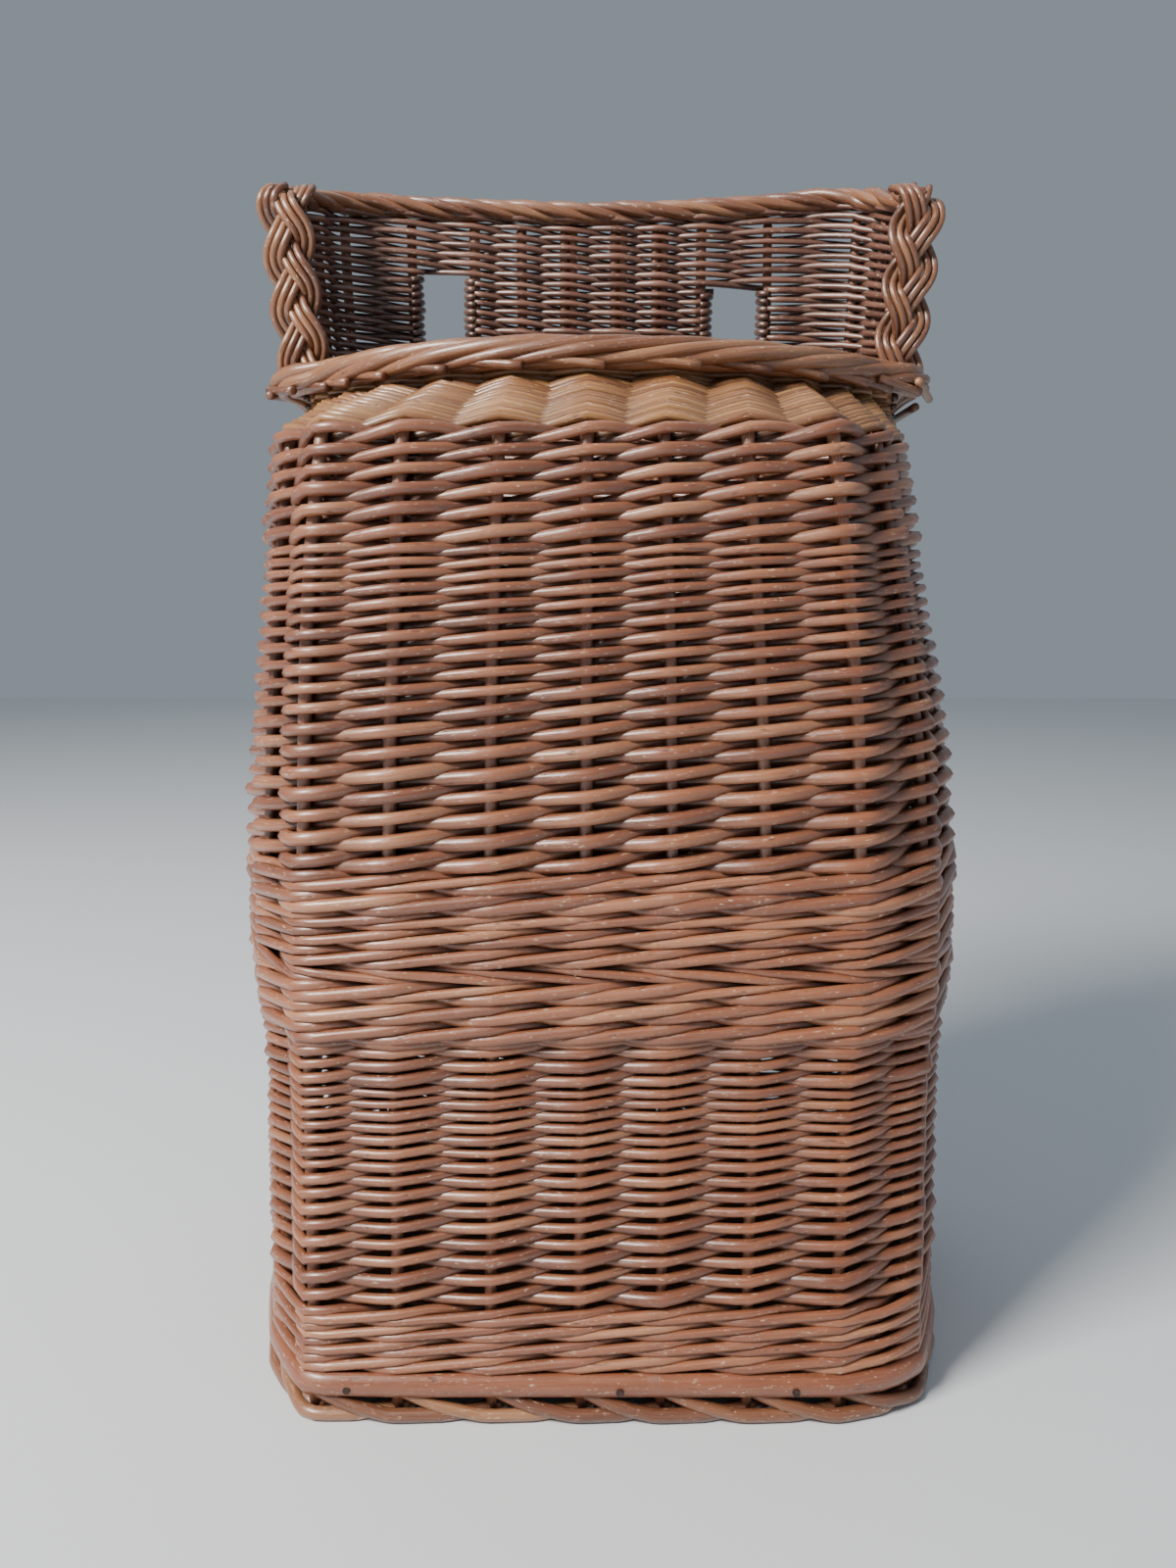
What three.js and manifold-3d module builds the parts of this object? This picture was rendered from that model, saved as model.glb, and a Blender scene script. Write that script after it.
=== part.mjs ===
// A willow back basket of the kind carried on the shoulders: a flat back that rises above the mouth and
// turns forward at both sides into wings, two slots for carrying straps, a body with a woven belt round its
// waist, a sloping shoulder that closes the front in, and a foot woven under a nailed wooden hoop.
// Millimetres, +Z up. The origin is on the ground under the middle of the basket; the front faces -Y.
import * as THREE from "three";
import { mergeVertices } from "three/addons/utils/BufferGeometryUtils.js";
import Module from "manifold-3d";

const wasm = await Module();
wasm.setup();

// Driving dimensions.
const GAP = 0.3; // air left between pieces that touch
const STAKE_R = 3; // the upright rods
const STAKE_SIDES = 6;
const BACK_Y = 106; // where the back stakes stand
const BACK_CORNER_R = 38;

// The stake line at each height of the closed body: its half width, how far forward its flat front stands,
// and how far out the flat front ends in a corner. The right side is tucked in towards the shoulder, and the
// stakes stand a little to the left at the foot.
const FOOT = { z: 8.3, halfWidth: 178, front: -106, corner: 137, tuck: 0, turn: -3 };
const HOOP_TOP = { z: 24.5, halfWidth: 178, front: -106, corner: 137, tuck: 0, turn: -3 };
const FOOT_WALE_TOP = { z: 56, halfWidth: 177, front: -105, corner: 136, tuck: 0, turn: -3 };
const SIDING_TOP = { z: 186, halfWidth: 177, front: -103, corner: 134, tuck: 0, turn: -1.5 };
const WAIST_MIDDLE = { z: 214, halfWidth: 184, front: -105, corner: 132, tuck: 0, turn: -1 };
const WAIST_TOP = { z: 266, halfWidth: 183, front: -106, corner: 130, tuck: 0.05, turn: 0 };
const BELLY = { z: 330, halfWidth: 177, front: -106, corner: 128, tuck: 0.2, turn: 0 };
const CHEST = { z: 395, halfWidth: 170, front: -102, corner: 125, tuck: 0.6, turn: 0 };
const NECK = { z: 430, halfWidth: 167, front: -98, corner: 122, tuck: 0.85, turn: 0 };
const SHOULDER = { z: 465, halfWidth: 164, front: -91, corner: 118, tuck: 1, turn: 0 };
const TUCK = { width: 0.07, corner: 0.16 }; // what a full tuck takes off the right side, as shares
const BODY = [
  FOOT, HOOP_TOP, FOOT_WALE_TOP, SIDING_TOP, WAIST_MIDDLE, WAIST_TOP, BELLY, CHEST, NECK, SHOULDER,
];
const WIDEST_Y = 20; // the sides curve from the front corners to here, then run straight back
const BULGE = { out: 0.8, back: 0.56 }; // of that curve, as shares of the width it gains

// The mouth, and the back and wings above it.
const MOUTH_Z = 495;
const MOUTH_FRONT = -30;
const WING_FOOT = new THREE.Vector2(158, 54); // the wing's front stake at the mouth
const WING_HEAD = new THREE.Vector2(165, 48); // and at the top
const WING_TOP_Z = 596;
const TOP_Z = 606; // in the middle of the back
const CORNER_LIFT = { right: 7, left: 4.5 }; // the top's rise from there to the wings
const WING_BACK_X = 128; // where the wing's curve runs out into the flat back
const WING_BEND = new THREE.Vector2(-2, 46); // from the wing's front stake to the bend of its curve
const SLOTS = [
  { from: -104, to: -79.5, top: 577 },
  { from: 65, to: 92.5, top: 569 },
];
const SLOT_BOTTOM = 510;

// Where the stakes stand, once round from the front middle, anticlockwise from above. Those of the front and
// sides are given along the belly's outline, and along the mouth; those of the back by their x.
const RIGHT_BELLY = [30, 71, 113, 156, 198, 240];
const RIGHT_RIM = [35, 71, 104, 133, 155, 172]; // along the mouth
const LEFT_BELLY = [257, 217, 176, 136, 95, 50, 8];
const LEFT_RIM = [173, 158, 137, 110, 78, 43, 7];
const WING_BELLY = { right: 282, left: 298 }; // the wings' front stakes
const WING_STEPS = [0, 37, 72]; // along the belly, from the wing's front stake
const BACK_X = [98.5, 59.5, 35, 10.9, -18.5, -46, -73.5, -110];

// Half thicknesses of the woven walls, from the stake line to the outside of the weavers.
const WALE_T = 8.5;
const SIDING_T = 6.8;
const SHOULDER_T = 5;
const PANEL_T = 5.6;

const HOOP = { bottom: 12, top: 24, thickness: 5.5 };
const HOOP_OUT = STAKE_R + 4 * GAP; // its flat side, from the stake line
const BOARD = { bottom: 10, top: 20, setBack: STAKE_R + 4 * GAP };
const NAIL = { headR: 1.9, head: 1.1, shankR: 0.9, length: 19, sides: 8 };

// ---- solids -------------------------------------------------------------------------------------------

function solidOf(geometry) {
  const bare = geometry.clone();
  bare.deleteAttribute("normal");
  bare.deleteAttribute("uv");
  const merged = mergeVertices(bare, 1e-4);
  return new wasm.Manifold(
    new wasm.Mesh({
      numProp: 3,
      vertProperties: merged.attributes.position.array,
      triVerts: new Uint32Array(merged.index.array),
    }),
  );
}

function geometryOf(solid) {
  const mesh = solid.getMesh();
  return new THREE.BufferGeometry()
    .setAttribute("position", new THREE.BufferAttribute(mesh.vertProperties, 3))
    .setIndex(new THREE.BufferAttribute(mesh.triVerts, 1));
}

function cut(geometry, tools) {
  const solid = tools.reduce((left, tool) => left.subtract(solidOf(tool)), solidOf(geometry));
  return geometryOf(solid);
}

// A closed skin over rings of points that all have the same even number of points. With loop the last ring
// joins the first; without it the two end rings are capped by ladders from one half to the other.
function skin(rings, loop) {
  const around = rings[0].length;
  const positions = rings.flat().flatMap((p) => [p.x, p.y, p.z]);
  const index = [];
  const at = (ring, k) => (ring % rings.length) * around + (k % around);
  for (let ring = 0; ring < rings.length - (loop ? 0 : 1); ring++) {
    for (let k = 0; k < around; k++) {
      index.push(at(ring, k), at(ring + 1, k), at(ring + 1, k + 1));
      index.push(at(ring, k), at(ring + 1, k + 1), at(ring, k + 1));
    }
  }
  if (!loop) {
    const last = rings.length - 1;
    for (let k = 0; k < around / 2 - 1; k++) {
      const [near, next, far, nextFar] = [k, k + 1, around - 1 - k, around - 2 - k];
      index.push(at(0, near), at(0, next), at(0, far), at(0, next), at(0, nextFar), at(0, far));
      index.push(at(last, near), at(last, far), at(last, next));
      index.push(at(last, next), at(last, far), at(last, nextFar));
    }
  }
  return new THREE.BufferGeometry()
    .setAttribute("position", new THREE.Float32BufferAttribute(positions, 3))
    .setIndex(index);
}

// A bar of one section swept through points. The section's first number runs to the bar's side, square to
// the upright direction given, and its second runs that way up.
function bar(points, section, upright, loop = false) {
  const count = points.length;
  const near = (i) => (loop ? points[(i + count) % count] : points[THREE.MathUtils.clamp(i, 0, count - 1)]);
  const rings = points.map((point, i) => {
    const along = near(i + 1).clone().sub(near(i - 1)).normalize();
    const side = new THREE.Vector3().crossVectors(along, upright).normalize();
    const lift = new THREE.Vector3().crossVectors(side, along);
    return section.map(([s, u]) => point.clone().addScaledVector(side, s).addScaledVector(lift, u));
  });
  return skin(rings, loop);
}

function oval(halfWidth, halfHeight, sides) {
  const turn = (2 * Math.PI) / sides;
  return Array.from({ length: sides }, (_, k) => [
    halfWidth * Math.cos((k + 0.5) * turn),
    halfHeight * Math.sin((k + 0.5) * turn),
  ]);
}

// ---- where the stakes stand -----------------------------------------------------------------------------

// One half of the closed body's outline, drawn on the right, from the front middle to the back middle.
function halfOutline(level, side) {
  const tuck = side > 0 ? level.tuck : 0;
  const [halfWidth, front] = [level.halfWidth * (1 - TUCK.width * tuck), level.front];
  const corner = level.corner * (1 - TUCK.corner * tuck);
  const gain = halfWidth - corner;
  const path = new THREE.Path();
  path.moveTo(0, front);
  path.lineTo(corner, front);
  path.quadraticCurveTo(corner + BULGE.out * gain, front + BULGE.back * gain, halfWidth, WIDEST_Y);
  path.lineTo(halfWidth, BACK_Y - BACK_CORNER_R);
  path.absarc(halfWidth - BACK_CORNER_R, BACK_Y - BACK_CORNER_R, BACK_CORNER_R, 0, Math.PI / 2, false);
  path.lineTo(0, BACK_Y);
  return path;
}

// Each stake's side of the basket, its distance along the belly, and its place above the shoulder.
const stakes = [
  ...RIGHT_BELLY.map((belly, k) => ({ side: 1, belly, mouth: RIGHT_RIM[k] })),
  ...WING_STEPS.map((step, wing) => ({ side: 1, belly: WING_BELLY.right + step, wing })),
  ...BACK_X.map((x) => ({ side: Math.sign(x), x })),
  ...WING_STEPS.map((step, wing) => ({ side: -1, belly: WING_BELLY.left + step, wing })).reverse(),
  ...LEFT_BELLY.map((belly, k) => ({ side: -1, belly, mouth: LEFT_RIM[k] })),
];
const COUNT = stakes.length;
const RIGHT_WING = RIGHT_RIM.length;
const LEFT_WING = COUNT - 1 - LEFT_RIM.length;

function bodyRing(level) {
  return stakes.map(({ side, belly, x }) => {
    if (x !== undefined) return new THREE.Vector3(x, BACK_Y, level.z);
    const outline = halfOutline(level, side);
    const along = belly / halfOutline(BELLY, side).getLength() + (side * level.turn) / outline.getLength();
    const p = outline.getPointAt(along);
    return new THREE.Vector3(side * p.x, p.y, level.z);
  });
}

// The rim's stakes stand on one arc from wing to wing.
function mouthPoint(distance) {
  const rise = WING_FOOT.y - MOUTH_FRONT;
  const radius = (WING_FOOT.x ** 2 + rise ** 2) / (2 * rise);
  const angle = distance / radius;
  return new THREE.Vector2(radius * Math.sin(angle), MOUTH_FRONT + radius * (1 - Math.cos(angle)));
}

// A ring above the shoulder: the wings curve round from their front stake to the flat back.
function upperRing(wingFront, wingZ, backZ, lift) {
  const corner = new THREE.Vector2(WING_BACK_X, BACK_Y);
  const curve = new THREE.QuadraticBezierCurve(wingFront, wingFront.clone().add(WING_BEND), corner);
  return stakes.map(({ side, x, mouth, wing }) => {
    const cornerLift = side > 0 ? lift.right : lift.left;
    if (x !== undefined) {
      return new THREE.Vector3(x, BACK_Y, backZ + cornerLift * (x / WING_BACK_X) ** 2);
    }
    const share = mouth === undefined ? wing / WING_STEPS.length : 0;
    const p = mouth === undefined ? curve.getPoint(share) : mouthPoint(mouth);
    return new THREE.Vector3(side * p.x, p.y, wingZ + share * (backZ + cornerLift - wingZ));
  });
}

const bodyRings = BODY.map(bodyRing);
const mouthRing = upperRing(WING_FOOT, MOUTH_Z, MOUTH_Z, { right: 0, left: 0 });
const topRing = upperRing(WING_HEAD, WING_TOP_Z, TOP_Z, CORNER_LIFT);
const shoulderRing = bodyRings[bodyRings.length - 1];

const endsInRim = (i) => stakes[i].mouth !== undefined;

// The whole run of one stake, from its foot to just under the rim or the top border.
function stakeLine(i) {
  const line = [...bodyRings.map((ring) => ring[i]), mouthRing[i]];
  if (!endsInRim(i)) line.push(topRing[i]);
  const [before, end] = line.slice(-2);
  line[line.length - 1] = end.clone().lerp(before, STAKE_R / (end.z - before.z));
  return line;
}

function stakeGeometry(i, radius, extra = 0) {
  const line = stakeLine(i).map((p) => p.clone());
  line[0].z -= extra;
  const last = line[line.length - 1];
  const before = line[line.length - 2];
  last.addScaledVector(last.clone().sub(before).normalize(), extra);
  return bar(line, oval(radius, radius, STAKE_SIDES), new THREE.Vector3(0, 1, 0));
}

// ---- woven walls ----------------------------------------------------------------------------------------

const rings = [...bodyRings, mouthRing, topRing];
const SHOULDER_LEVEL = bodyRings.length - 1;
const MOUTH_LEVEL = SHOULDER_LEVEL + 1;
const TOP_LEVEL = MOUTH_LEVEL + 1;

// The way out of the basket, and the way up along a stake, at one stake and one level. Walls that meet at a
// level share both, so that they meet in a mitre.
function facing(i, level) {
  const above = level + 1 > TOP_LEVEL || (level === MOUTH_LEVEL && endsInRim(i)) ? level : level + 1;
  const below = Math.max(level - 1, 0);
  const up = rings[above][i].clone().sub(rings[below][i]).normalize();
  const across = rings[level][(i + 1) % COUNT].clone().sub(rings[level][(i + COUNT - 1) % COUNT]);
  return { up, out: new THREE.Vector3().crossVectors(across, up).normalize() };
}

// Stakes first to last, going on through the first of all if last comes before first.
function stretch(first, last) {
  const count = ((last - first + COUNT) % COUNT) + 1;
  return Array.from({ length: count }, (_, k) => (first + k) % COUNT);
}

// A wall of even thickness through a run of stakes, between two levels, drawn in at both. The two ends of an
// open run are moved past their stakes by the distances given, or short of them if negative.
function wall(run, from, to, halfThickness, ends, foot = GAP) {
  const last = run.length - 1;
  const sections = run.map((i, k) => {
    const faces = Array.from({ length: to - from + 1 }, (_, j) => {
      const level = from + j;
      const { up, out } = facing(i, level);
      const inset = level === from ? foot : level === to ? -GAP : 0;
      const middle = rings[level][i].clone().addScaledVector(up, inset);
      if (ends && (k === 0 || k === last)) {
        const inner = rings[level][run[k === 0 ? 1 : last - 1]];
        const onward = rings[level][i].clone().sub(inner).normalize();
        middle.addScaledVector(onward, k === 0 ? ends[0] : ends[1]);
      }
      return {
        outer: middle.clone().addScaledVector(out, halfThickness),
        inner: middle.clone().addScaledVector(out, -halfThickness),
      };
    });
    return [...faces.map((f) => f.outer), ...faces.map((f) => f.inner).reverse()];
  });
  return skin(sections, !ends);
}

const stakeTools = Array.from({ length: COUNT }, (_, i) => stakeGeometry(i, STAKE_R + GAP, 2));

function wovenRing(from, to, halfThickness) {
  const shell = wall(stretch(0, COUNT - 1), BODY.indexOf(from), BODY.indexOf(to), halfThickness);
  return cut(shell, stakeTools);
}

const EDGE_GAP = 2; // left above the shoulder's edge, where the walls turn in
const SIDE_GAP = 1.5; // left beside the wings
const PANEL_END = 7; // the wings run this far past their front stakes
const PANEL_SPLIT = 8; // the wings begin this far beyond the outermost back stakes

function shoulderWeave() {
  const ends = [-PANEL_END - SIDE_GAP, -PANEL_END - SIDE_GAP];
  const run = stretch(LEFT_WING, RIGHT_WING);
  return cut(wall(run, SHOULDER_LEVEL, MOUTH_LEVEL, SHOULDER_T, ends, EDGE_GAP), stakeTools);
}

// A stretch of the back above the shoulder.
function backStretch(first, last, ends, tools = []) {
  const shell = wall(stretch(first, last), SHOULDER_LEVEL, TOP_LEVEL, PANEL_T, ends, EDGE_GAP);
  return cut(shell, [...stakeTools, ...tools]);
}

function slotTools() {
  return SLOTS.map(({ from, to, top }) => {
    const box = new THREE.BoxGeometry(to - from, 6 * PANEL_T, top - SLOT_BOTTOM);
    return box.translate((from + to) / 2, BACK_Y, (top + SLOT_BOTTOM) / 2);
  });
}

// ---- borders --------------------------------------------------------------------------------------------

const UP = new THREE.Vector3(0, 0, 1);

// Moves the two ends of a run of points on.
function lengthen(points, distance) {
  const head = points[0].clone().sub(points[1]).normalize();
  const tail = points.at(-1).clone().sub(points.at(-2)).normalize();
  points[0].addScaledVector(head, distance);
  points.at(-1).addScaledVector(tail, distance);
  return points;
}

// Points of a level moved straight outwards in plan by the distance given for each, and raised.
function moved(points, distance, rise, loop) {
  const count = points.length;
  return points.map((p, i) => {
    const next = loop ? points[(i + 1) % count] : points[Math.min(i + 1, count - 1)];
    const previous = loop ? points[(i + count - 1) % count] : points[Math.max(i - 1, 0)];
    const along = next.clone().sub(previous).setZ(0).normalize();
    const out = typeof distance === "function" ? distance(i) : distance;
    return new THREE.Vector3(p.x + along.y * out, p.y - along.x * out, p.z + rise);
  });
}

const FOOT_BORDER = { halfWidth: 8, halfHeight: 4, sides: 8 };
const RIM = { halfWidth: 9, halfHeight: 8, sides: 8, outset: 6 };
const RIM_END_OUTSETS = [19.5, 23.8, 19.5]; // where it passes outside the wings, from its end inwards
const TOP_BORDER = { halfWidth: 9, halfHeight: 6.6, sides: 8 };
const PLAIT = { halfWidth: 13, halfDepth: 7, sides: 8 };
const RIM_BOTTOM = MOUTH_Z + SHOULDER_T + GAP; // clear of the sloping shoulder's upper corner

function flatOval({ halfWidth, halfHeight, sides }) {
  const flat = Math.cos(Math.PI / sides); // brings the flats, not the corners, out to the full size
  return oval(halfWidth / flat, halfHeight / flat, sides);
}

function footBorder() {
  const line = moved(bodyRings[0], 0, FOOT_BORDER.halfHeight - FOOT.z, true);
  return bar(line, flatOval(FOOT_BORDER), UP, true);
}

// A split rod, round outside and flat inside, drawn tight round the feet of the stakes.
function hoopGeometry() {
  const middle = (HOOP.top + HOOP.bottom) / 2;
  const line = moved(bodyRings[0], HOOP_OUT, middle - FOOT.z, true);
  const half = (HOOP.top - HOOP.bottom) / 2;
  const round = [-1, -0.6, 0, 0.6, 1].map((u) => [HOOP.thickness * Math.sqrt(1 - 0.9 * u * u), half * u]);
  return bar(line, [[0, half], [0, -half], ...round], UP, true);
}

function boardGeometry() {
  const outline = moved(bodyRings[0], -BOARD.setBack, 0, true);
  const shape = new THREE.Shape(outline.map((p) => new THREE.Vector2(p.x, p.y)));
  const board = new THREE.ExtrudeGeometry(shape, { depth: BOARD.top - BOARD.bottom, bevelEnabled: false });
  return board.translate(0, 0, BOARD.bottom);
}

function rimGeometry() {
  const points = stretch(LEFT_WING - 1, RIGHT_WING + 1).map((i) => mouthRing[i]);
  const fromEnd = (i) => Math.min(i, points.length - 1 - i);
  const outset = (i) => RIM_END_OUTSETS[fromEnd(i)] ?? RIM.outset;
  const line = moved(points, outset, RIM_BOTTOM + RIM.halfHeight - MOUTH_Z, false);
  return bar(line, flatOval(RIM), UP);
}

function topBorderGeometry() {
  const points = stretch(RIGHT_WING, LEFT_WING).map((i) => topRing[i]);
  const line = moved(points, 0, 4 * GAP + TOP_BORDER.halfHeight, false);
  return bar(lengthen(line, PANEL_END), flatOval(TOP_BORDER), UP);
}

const PLAIT_GAP = 3.2; // left round the plaits, whose ends are not square to their neighbours

// The plait stands in front of the wing's edge and hides it.
function plaitGeometry(wing) {
  const side = Math.sign(mouthRing[wing].x);
  const step = PANEL_END + PLAIT_GAP + PLAIT.halfDepth;
  const front = (ring) => {
    const [first, behind] = [ring[wing], ring[wing + side]];
    return first.clone().addScaledVector(first.clone().sub(behind).setZ(0).normalize(), step);
  };
  const [foot, head] = [front(mouthRing), front(topRing)];
  const at = (z) => foot.clone().lerp(head, (z - foot.z) / (head.z - foot.z));
  const ends = [RIM_BOTTOM + 2 * RIM.halfHeight + PLAIT_GAP, WING_TOP_Z + GAP + 2 * TOP_BORDER.halfHeight];
  const line = [ends[0], (ends[0] + ends[1]) / 2, ends[1]].map(at);
  const forward = foot.clone().sub(mouthRing[wing]).normalize();
  return bar(line, oval(PLAIT.halfWidth, PLAIT.halfDepth, PLAIT.sides), forward);
}

// ---- nails ----------------------------------------------------------------------------------------------

const nailPlaces = [
  ["nail_front_right", 1, 2],
  ["nail_right_side", 6, 7],
  ["nail_back_right", 9, 10],
  ["nail_back_middle", 12, 13],
  ["nail_back_left", 15, 16],
  ["nail_left_side", 18, 19],
  ["nail_front_left", 23, 24],
  ["nail_front_middle", 26, 0],
];

function nailShape(extra) {
  const { headR, head, shankR, length } = NAIL;
  const profile = [
    [0, -length],
    [shankR + extra, -length + shankR],
    [shankR + extra, 0],
    [headR + extra, 0],
    [headR + extra, head],
    [0, head],
  ].map(([r, y]) => new THREE.Vector2(r, y));
  return new THREE.LatheGeometry(profile, NAIL.sides);
}

// The nail's own +Y, its head, is turned to point out of the hoop midway between two stakes.
function placeNail(geometry, first, second) {
  const line = moved(bodyRings[0], HOOP_OUT + HOOP.thickness + GAP, 0, true);
  const middle = line[first].clone().add(line[second]).multiplyScalar(0.5);
  const along = line[second].clone().sub(line[first]).normalize();
  const out = new THREE.Vector3(along.y, -along.x, 0);
  const turn = new THREE.Quaternion().setFromUnitVectors(new THREE.Vector3(0, 1, 0), out);
  middle.z = (HOOP.top + HOOP.bottom) / 2;
  return geometry.applyQuaternion(turn).translate(middle.x, middle.y, middle.z);
}

// ---- the basket -----------------------------------------------------------------------------------------

const willow = new THREE.MeshStandardMaterial({ color: 0xb07a55, roughness: 0.55, metalness: 0 });
const stakeWillow = new THREE.MeshStandardMaterial({ color: 0xa4664a, roughness: 0.6, metalness: 0 });
const splitWillow = new THREE.MeshStandardMaterial({ color: 0xa1603e, roughness: 0.5, metalness: 0 });
const board = new THREE.MeshStandardMaterial({ color: 0xa98a66, roughness: 0.75, metalness: 0 });
const iron = new THREE.MeshStandardMaterial({ color: 0x5a4a42, roughness: 0.6, metalness: 0.8 });

const basket = new THREE.Group();

function add(name, geometry, material) {
  const mesh = new THREE.Mesh(geometry, material);
  mesh.name = name;
  basket.add(mesh);
}

const nailHoles = nailPlaces.map(([, first, second]) => placeNail(nailShape(GAP), first, second));

add("base_board", cut(boardGeometry(), nailHoles), board);
add("foot_border", footBorder(), willow);
add("base_hoop", cut(hoopGeometry(), nailHoles), splitWillow);
nailPlaces.forEach(([name, first, second]) => add(name, placeNail(nailShape(0), first, second), iron));

for (let i = 0; i < COUNT; i++) {
  add("stake_" + String(i + 1).padStart(2, "0"), stakeGeometry(i, STAKE_R), stakeWillow);
}

add("foot_wale", wovenRing(HOOP_TOP, FOOT_WALE_TOP, WALE_T), willow);
add("lower_siding", wovenRing(FOOT_WALE_TOP, SIDING_TOP, SIDING_T), willow);
add("waist_wale", wovenRing(SIDING_TOP, WAIST_TOP, WALE_T), willow);
add("upper_siding", wovenRing(WAIST_TOP, SHOULDER, SIDING_T), willow);
add("shoulder_weave", shoulderWeave(), willow);
const [BACK_FIRST, BACK_LAST] = [RIGHT_WING + WING_STEPS.length, LEFT_WING - WING_STEPS.length];
add("right_wing", backStretch(RIGHT_WING, BACK_FIRST, [PANEL_END, -PANEL_SPLIT]), willow);
const panelEnds = [PANEL_SPLIT - GAP, PANEL_SPLIT - GAP];
add("back_panel", backStretch(BACK_FIRST, BACK_LAST, panelEnds, slotTools()), willow);
add("left_wing", backStretch(BACK_LAST, LEFT_WING, [-PANEL_SPLIT, PANEL_END]), willow);
add("rim_border", rimGeometry(), willow);
add("top_border", topBorderGeometry(), willow);
add("left_wing_plait", plaitGeometry(LEFT_WING), willow);
add("right_wing_plait", plaitGeometry(RIGHT_WING), willow);

export default basket;
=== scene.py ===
import math

import bpy
import numpy as np
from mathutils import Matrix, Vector


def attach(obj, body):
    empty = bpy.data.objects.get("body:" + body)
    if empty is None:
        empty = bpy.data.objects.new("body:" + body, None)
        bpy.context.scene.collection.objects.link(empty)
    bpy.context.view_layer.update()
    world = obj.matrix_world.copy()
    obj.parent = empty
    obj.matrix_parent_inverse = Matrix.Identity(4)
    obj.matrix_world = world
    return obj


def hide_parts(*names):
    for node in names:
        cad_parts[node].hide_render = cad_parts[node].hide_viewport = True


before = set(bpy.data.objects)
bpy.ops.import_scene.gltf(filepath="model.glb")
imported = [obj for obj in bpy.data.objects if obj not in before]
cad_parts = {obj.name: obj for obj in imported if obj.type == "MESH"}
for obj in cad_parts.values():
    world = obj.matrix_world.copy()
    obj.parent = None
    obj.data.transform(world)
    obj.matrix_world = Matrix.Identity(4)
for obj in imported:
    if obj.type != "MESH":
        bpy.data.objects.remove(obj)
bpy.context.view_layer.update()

# ---- The shape ------------------------------------------------------------------------------------------
# A willow back basket: a D-shaped body with a flat back, a shoulder that closes the front in, and a back with
# wings that stands above the mouth. Every piece is laid along its stakes, so their lines come first, in mm.

STAKE_R = 3.0
BACK_Y = 106.0
CORNER_R = 38.0
WIDEST_Y = 20.0
MOUTH_Z = 495.0
SHOULDER_Z = 465.0
SLANT = 70.0  # the shoulder's slope, along a stake of the front
# Height, half width, front, front corner, how far the right side is tucked in, how far the stakes are turned.
LEVELS = [[8.3, 178, -106, 137, 0, -3], [24.5, 178, -106, 137, 0, -3], [56, 177, -105, 136, 0, -3],
          [186, 177, -103, 134, 0, -1.5], [214, 184, -105, 132, 0, -1], [266, 183, -106, 130, 0.05, 0],
          [330, 177, -106, 128, 0.2, 0], [395, 170, -102, 125, 0.6, 0], [430, 167, -98, 122, 0.85, 0],
          [465, 164, -91, 118, 1, 0]]
BELLY_Z = 330
KINK = 12  # the outline is averaged over this much height to each side, which rounds off the levels' kinks
TUCK = (0.07, 0.16)  # what a full tuck takes off the right side's width and front corner, as shares
BULGE = (0.8, 0.56)  # how far the flank's curve is drawn sideways and back, as shares of width less corner
# The stakes, once round from the front middle: their places along the belly, and along the mouth.
RIGHT_BELLY = [30, 71, 113, 156, 198, 240]
RIGHT_RIM = [35, 71, 104, 133, 155, 172]
LEFT_BELLY = [257, 217, 176, 136, 95, 50, 8]
LEFT_RIM = [173, 158, 137, 110, 78, 43, 7]
WING_BELLY = {1: 282, -1: 298}
WING_STEPS = [0, 37, 72]
BACK_X = [98.5, 59.5, 35, 10.9, -18.5, -46, -73.5, -110]
STAKES = 27
RIGHT_WING, LEFT_WING = 6, 19
FINE = 12  # points of the surface between two stakes
TAUT = 0.6  # how straight the rods are drawn from stake to stake, against the smooth outline


def half_body(level, side):
    """One half of the body's outline, drawn on the right, from the front middle to the back middle."""
    _, width, front, corner, tuck, _ = level
    if side > 0:
        width, corner = width * (1 - TUCK[0] * tuck), corner * (1 - TUCK[1] * tuck)
    gain = width - corner
    bend = np.array([corner + BULGE[0] * gain, front + BULGE[1] * gain])
    t = np.linspace(0, 1, 40)[:, None]
    flank = (1 - t) ** 2 * [corner, front] + 2 * t * (1 - t) * bend + t ** 2 * [width, WIDEST_Y]
    a = np.linspace(0, math.pi / 2, 16)[:, None]
    turn = np.hstack([width - CORNER_R + CORNER_R * np.cos(a), BACK_Y - CORNER_R + CORNER_R * np.sin(a)])
    return np.vstack([[[0, front]], flank, turn, [[0, BACK_Y]]])


def lengths(points):
    return np.concatenate([[0], np.cumsum(np.linalg.norm(np.diff(points, axis=0), axis=1))])


def level_at(z):
    table = np.array(LEVELS, float).T
    near = np.linspace(z - KINK, z + KINK, 9)
    return [z] + [np.interp(near, table[0], column).mean() for column in table[1:]]


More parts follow.
